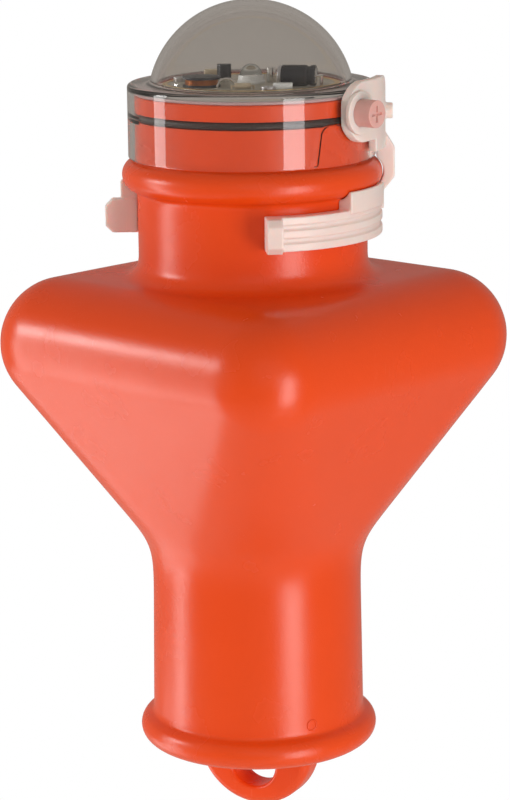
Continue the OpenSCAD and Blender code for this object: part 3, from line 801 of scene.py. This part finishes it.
# %% The collar, its washer and its stud
def softened(node, name, voxel, passes):
    """A copy remeshed into squares of the voxel's size and then relaxed."""
    obj = copy_of(node, name)
    remesh = obj.modifiers.new("even_squares", "REMESH")
    remesh.mode = "VOXEL"
    remesh.voxel_size = voxel
    relax = obj.modifiers.new("relax", "SMOOTH")
    relax.factor = 0.5
    relax.iterations = passes
    baked(obj)
    obj.data.shade_smooth()
    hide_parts(node)
    return obj


collar = softened("retaining_collar", "milky_collar", 0.3 * MM, 5)
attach(collar, "collar")
washer = softened("stud_washer", "pad_washer", 0.16 * MM, 4)
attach(washer, "collar")
stud = softened("lock_stud", "cross_stud", 0.12 * MM, 4)
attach(stud, "stud")
print("collar faces:", len(collar.data.polygons), "stud faces:", len(stud.data.polygons))

# %% [markdown]
# ## What is on the board
# The board's parts are small but they are lit and seen through the clear dome. Those with
# flat faces, and the coil's drum, keep their own shape with a fine bevel. The LED and its
# lens, the coil's winding and the lying capacitor are turned again from finer outlines.

# %% Bevelled copies
def bevelled(node, name, width, body="engine", segments=3):
    """A copy with its sharp edges rounded, which takes the part's place."""
    obj = copy_of(node, name)
    bevel = obj.modifiers.new("edge", "BEVEL")
    bevel.width = width
    bevel.segments = segments
    bevel.limit_method = "ANGLE"
    bevel.angle_limit = math.radians(40)
    baked(obj)
    obj.data.shade_smooth()
    obj.data.set_sharp_from_angle(angle=math.radians(50))
    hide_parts(node)
    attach(obj, body)
    return obj


block = bevelled("terminal_block", "two_way_block", 0.25 * MM)
package = bevelled("transistor", "switching_transistor", 0.2 * MM)
film_box = bevelled("film_capacitor", "film_box", 0.45 * MM)
can_switch = bevelled("tilt_switch", "tilt_can", 0.12 * MM)
screws = bevelled("board_screws", "board_screw_heads", 0.1 * MM, segments=2)
drum = bevelled("inductor_core", "drum_core", 0.25 * MM)
print("bevelled:", [o.name for o in (block, package, film_box, can_switch, screws, drum)])

# %% [markdown]
# The LED is a white cup with a yellow phosphor on its chip, under a clear round lens. The
# lens is hollow where the phosphor stands, so that no two surfaces touch.

# %% The LED
led_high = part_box("led_board")[1]
lens_low, lens_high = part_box("led_lens")
LED_R = led_high.x
LENS_R = lens_high.x
CUP_H = 2.6 * MM
EMITTER_R = 2.3 * MM
CHAMFER = 0.3 * MM
DOME_OF_CHIP_R = 3.2 * MM
lens_foot = lens_high.z - LENS_R

cup = [(0, board_top), (LED_R, board_top), (LED_R, led_high.z - CHAMFER), (LED_R - CHAMFER, led_high.z)]
cup += [(LED_R - 0.5 * MM, board_top + CUP_H), (LENS_R + 0.15 * MM, board_top + CUP_H),
        (LENS_R + 0.05 * MM, led_high.z), (0, led_high.z)]
led_cup = lathe("led_white_cup", cup, columns=96)
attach(led_cup, "engine")
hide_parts("led_board")

chip = [(0, led_high.z), (EMITTER_R, led_high.z), (EMITTER_R, led_high.z + 0.7 * MM)]
chip += arc((0, led_high.z - 1.9 * MM), DOME_OF_CHIP_R, 50, 90, 10)
led_chip = lathe("led_phosphor", chip, columns=72)
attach(led_chip, "engine")
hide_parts("led_emitter")

hollow_r = EMITTER_R + 0.12 * MM
bulb = [(hollow_r, lens_low.z), (LENS_R - 0.1 * MM, lens_low.z), (LENS_R, lens_low.z + 0.1 * MM)]
bulb += arc((0, lens_foot), LENS_R, 0, 90, 28)
bulb += [(0, led_high.z + 1.5 * MM), (EMITTER_R - 0.4 * MM, led_high.z + 1.42 * MM),
         (hollow_r, led_high.z + 0.9 * MM)]
led_bulb = lathe("led_clear_lens", bulb, columns=96, close_rows=True)
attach(led_bulb, "engine")
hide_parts("led_lens")
print("LED lens top in mm:", round(lens_high.z / MM, 2))

# %% [markdown]
# The coil's winding is turned with one scallop for each turn of wire.

# %% The drum coil
wind_low, wind_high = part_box("inductor_winding")
coil_middle = (wind_low + wind_high) / 2
WIRE_TURNS = 6
HUB_R = 2.62 * MM
wire_r = (wind_high.z - wind_low.z) / WIRE_TURNS / 2
outer_wire = (wind_high.x - wind_low.x) / 2 - wire_r
scallops = [(HUB_R, wind_low.z)]
for i in range(WIRE_TURNS):
    scallops += arc((outer_wire, wind_low.z + (2 * i + 1) * wire_r), wire_r, -80, 80, 8)
scallops += [(HUB_R, wind_high.z)]
winding = lathe("drum_winding", scallops, columns=96, close_rows=True, sharp=80)
winding.location = (coil_middle.x, coil_middle.y, 0)
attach(winding, "engine")
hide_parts("inductor_winding")
print("coil at mm:", round(coil_middle.x / MM, 1), round(coil_middle.y / MM, 1))

# %% [markdown]
# The capacitor lies on its side. Its can shows at one end, and a shrunk sleeve covers the
# rest, follows the groove near the rubber plug and curls over both edges.

# %% The lying capacitor
CAN_R = 3.4 * MM
SLEEVE_T = 0.25 * MM
CAN_LEN = 12 * MM
CAN_END = 1.2 * MM
CAN_TURN = math.radians(-15)
GROOVE_BACK = 2.2 * MM
TIN_EDGE = 0.5 * MM
WRAP_EDGE = 0.3 * MM
PLUG_EDGE = 0.4 * MM
can_low, can_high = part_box("capacitor_can")
can_middle = (can_low + can_high) / 2
can_place = Matrix.Translation((can_middle.x, can_middle.y, board_top + CAN_R + 0.1 * MM))
can_place = can_place @ Matrix.Rotation(CAN_TURN, 4, "Z") @ Matrix.Rotation(math.pi / 2, 4, "Y")
can_in = CAN_R - SLEEVE_T
half = CAN_LEN / 2
tin = [(0, -half)] + arc((can_in - TIN_EDGE, -half + TIN_EDGE), TIN_EDGE, -90, 0, 6)
tin += [(can_in, half - 3 * MM)] + arc((can_in + 0.25 * MM, half - GROOVE_BACK), 0.7 * MM, 230, 130, 8)
tin += arc((can_in - PLUG_EDGE, half - PLUG_EDGE), PLUG_EDGE, 0, 90, 4) + [(0, half)]
can = lathe("capacitor_tin", tin, columns=96)
can.matrix_world = can_place
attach(can, "engine")
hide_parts("capacitor_can")

wrap = [(can_in - 0.1 * MM, -half + CAN_END), (CAN_R - WRAP_EDGE, -half + CAN_END)]
wrap += arc((CAN_R - WRAP_EDGE, -half + CAN_END + WRAP_EDGE), WRAP_EDGE, -80, 0, 4)
wrap += [(CAN_R, half - 3.1 * MM)] + arc((CAN_R + 0.35 * MM, half - GROOVE_BACK), 0.8 * MM, 230, 130, 8)
wrap += arc((CAN_R - PLUG_EDGE, half - PLUG_EDGE), PLUG_EDGE, 0, 80, 4)
wrap += [(CAN_R - 0.9 * MM, half + 0.05 * MM), (can_in - 0.8 * MM, half - 0.1 * MM)]
sleeve = lathe("capacitor_wrap", wrap, columns=96, close_rows=True)
sleeve.matrix_world = can_place
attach(sleeve, "engine")
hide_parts("capacitor_sleeve")
print("capacitor faces:", len(can.data.polygons) + len(sleeve.data.polygons))

# %% [markdown]
# ## The finishes of this light
# Each finish is named for the piece that wears it. The orange is a semi-gloss polyethylene
# with orange-peel grain, so lamps show as soft grainy strips on it. The dome is clear and
# smooth. The collar is milky: light goes into it and comes out again nearby.

# %% Float, seals and dome
float_plastic = finish("float_orange", (0.80, 0.066, 0.006), roughness=0.26, spread=0.12, grain=0.55,
                       depth=0.55, drift=0.06, dust=0.01, rub=0.12, rub_colour=(0.95, 0.3, 0.16),
                       plain={"IOR": 1.5, "Specular IOR Level": 0.4})
black_rubber = finish("seal_rubber", (0.03, 0.016, 0.013), roughness=0.45, grain=0.3, depth=0.2, dust=0.05)
pale_silicone = finish("seal_silicone", (0.50, 0.33, 0.33), roughness=0.4, grain=0.4, depth=0.1)
dome_plastic = finish("dome_clear", (0.93, 0.92, 0.91), roughness=0.03, spread=0.03, grain=3.0, depth=0.01,
                      drift=0.02, dust=0.02,
                      plain={"Transmission Weight": 1.0, "IOR": 1.49, "Metallic": 0.0})
let_lamps_through(dome_plastic)
print("finishes for the float, its seals and the dome ready")

# %% Collar and stud
milky_plastic = finish("collar_white", (0.84, 0.70, 0.65), roughness=0.38, grain=0.7, depth=0.2, drift=0.06,
                       drift_scale=90.0, dust=0.03, rub=0.15, rub_colour=(0.95, 0.9, 0.88),
                       plain={"Subsurface Weight": 0.6, "Subsurface Scale": 0.004,
                              "Subsurface Radius": (1.0, 0.5, 0.4), "IOR": 1.5})
pink_plastic = finish("stud_pink", (0.72, 0.40, 0.36), roughness=0.34, grain=0.6, depth=0.15, drift=0.08,
                      drift_scale=120.0,
                      plain={"Subsurface Weight": 0.4, "Subsurface Scale": 0.003,
                             "Subsurface Radius": (1.0, 0.4, 0.3)})
print("finishes for the collar and the stud ready")

# %% [markdown]
# Metals are the same finish with the shader's Metallic at one. The board's laminate drifts
# strongly and finely in colour, which stands for its crowd of tracks and small parts.

# %% Metals and the board
METAL = {"Metallic": 1.0}
board_gloss = finish("board_laminate", (0.42, 0.38, 0.30), roughness=0.35, grain=0.4, depth=0.2, drift=1.2,
                     drift_scale=420.0, dust=0.1)
gold_metal = finish("gold_plate", (0.82, 0.55, 0.16), roughness=0.28, grain=0.3, depth=0.1, drift=0.3,
                    drift_scale=300.0, plain=METAL)
steel_metal = finish("zinc_steel", (0.66, 0.66, 0.68), roughness=0.28, grain=0.3, depth=0.15, drift=0.15,
                     plain=METAL)
bright_metal = finish("contact_steel", (0.80, 0.79, 0.77), roughness=0.18, grain=0.3, depth=0.08, drift=0.1,
                      plain=METAL)
alloy_metal = finish("spacer_alloy", (0.74, 0.75, 0.77), roughness=0.33, grain=0.2, depth=0.2, drift=0.1,
                     rub=0.4, rub_colour=(0.9, 0.9, 0.92), plain=METAL)
copper_wire = finish("copper_winding", (0.62, 0.25, 0.10), roughness=0.3, grain=0.3, depth=0.05, drift=0.3,
                     drift_scale=500.0, plain=METAL)
print("finishes for the board and the metals ready")

# %% Small parts on the board
ceramic_white = finish("led_ceramic", (0.86, 0.87, 0.85), roughness=0.3, grain=0.3, depth=0.1)
phosphor_yellow = finish("phosphor", (0.86, 0.60, 0.03), roughness=0.5, grain=0.2, depth=0.3, drift=0.25,
                         drift_scale=900.0)
lens_silicone = finish("led_silicone", (0.97, 0.97, 0.96), roughness=0.04, spread=0.02, grain=2.0, depth=0.01,
                       drift=0.01, dust=0, plain={"Transmission Weight": 1.0, "IOR": 1.43, "Metallic": 0.0})
let_lamps_through(lens_silicone)
ferrite_grey = finish("ferrite", (0.035, 0.036, 0.042), roughness=0.42, grain=0.4, depth=0.3, drift=0.3)
sleeve_film = finish("sleeve_black", (0.018, 0.019, 0.023), roughness=0.22, grain=0.8, depth=0.15, drift=0.2)
package_resin = finish("package_black", (0.03, 0.03, 0.033), roughness=0.5, grain=0.25, depth=0.3)
terminal_white = finish("terminal_white", (0.84, 0.86, 0.84), roughness=0.4, grain=0.4, depth=0.1)
film_beige = finish("film_beige", (0.60, 0.50, 0.36), roughness=0.3, grain=0.6, depth=0.2, drift=0.2,
                    drift_scale=200.0)
print("finishes for the board's parts ready")

# %% The battery pack and the foam
nylon = finish("carrier_nylon", (0.76, 0.74, 0.67), roughness=0.42, grain=0.5, depth=0.2)
deck_plastic = finish("deck_plastic", (0.66, 0.46, 0.40), roughness=0.4, grain=0.5, depth=0.15)
cell_jacket = finish("cell_jacket", (0.05, 0.058, 0.075), roughness=0.26, grain=0.8, depth=0.1, drift=0.2,
                     rub=0.3, rub_colour=(0.4, 0.4, 0.42))
red_lead = finish("lead_red", (0.52, 0.02, 0.015), roughness=0.4, grain=0.4, depth=0.15)
black_lead = finish("lead_black", (0.02, 0.02, 0.022), roughness=0.4, grain=0.4, depth=0.15)
core_foam = finish("foam", (0.86, 0.80, 0.62), roughness=0.85, grain=1.2, depth=0.9, drift=0.15)
print("finishes for the battery pack ready")

# %% [markdown]
# Last, every piece gets the finish of its slot. Pieces built here are listed with their
# slots. The frame's own parts take the slot that the record gives them.

# %% The finish of each slot
FINISH_OF_SLOT = {
    "foam": core_foam, "carrier_nylon": nylon, "cell_jacket": cell_jacket, "contact_steel": bright_metal,
    "zinc_steel": steel_metal, "spacer_alloy": alloy_metal, "lead_red": red_lead, "lead_black": black_lead,
    "deck_plastic": deck_plastic, "board_laminate": board_gloss, "gold_plate": gold_metal,
    "film_beige": film_beige, "float_orange": float_plastic, "seal_rubber": black_rubber,
    "seal_silicone": pale_silicone, "dome_clear": dome_plastic, "collar_white": milky_plastic,
    "stud_pink": pink_plastic, "led_ceramic": ceramic_white, "phosphor": phosphor_yellow,
    "led_silicone": lens_silicone, "ferrite": ferrite_grey, "copper_winding": copper_wire,
    "sleeve_black": sleeve_film, "package_black": package_resin, "terminal_white": terminal_white,
}
print("slots with a finish:", len(FINISH_OF_SLOT))

# %% Dress the pieces and the parts
for obj, slot in (
    (float_shell, "float_orange"), (lug, "float_orange"), (vent_mark, "float_orange"),
    (ring, "seal_rubber"), (mouth_seal, "seal_silicone"), (dome_shell, "dome_clear"),
    (collar, "collar_white"), (washer, "collar_white"), (stud, "stud_pink"),
    (block, "terminal_white"), (package, "package_black"), (film_box, "film_beige"),
    (can_switch, "contact_steel"), (screws, "zinc_steel"), (drum, "ferrite"),
    (led_cup, "led_ceramic"), (led_chip, "phosphor"), (led_bulb, "led_silicone"),
    (winding, "copper_winding"), (can, "zinc_steel"), (sleeve, "sleeve_black"),
):
    obj.data.materials.clear()
    obj.data.materials.append(FINISH_OF_SLOT[slot])

for part in frame["record"]["subparts"]:
    obj = frame["nodes"][part["node"]]
    for material_slot in obj.material_slots:
        material_slot.material = FINISH_OF_SLOT[part["material_slot"]]
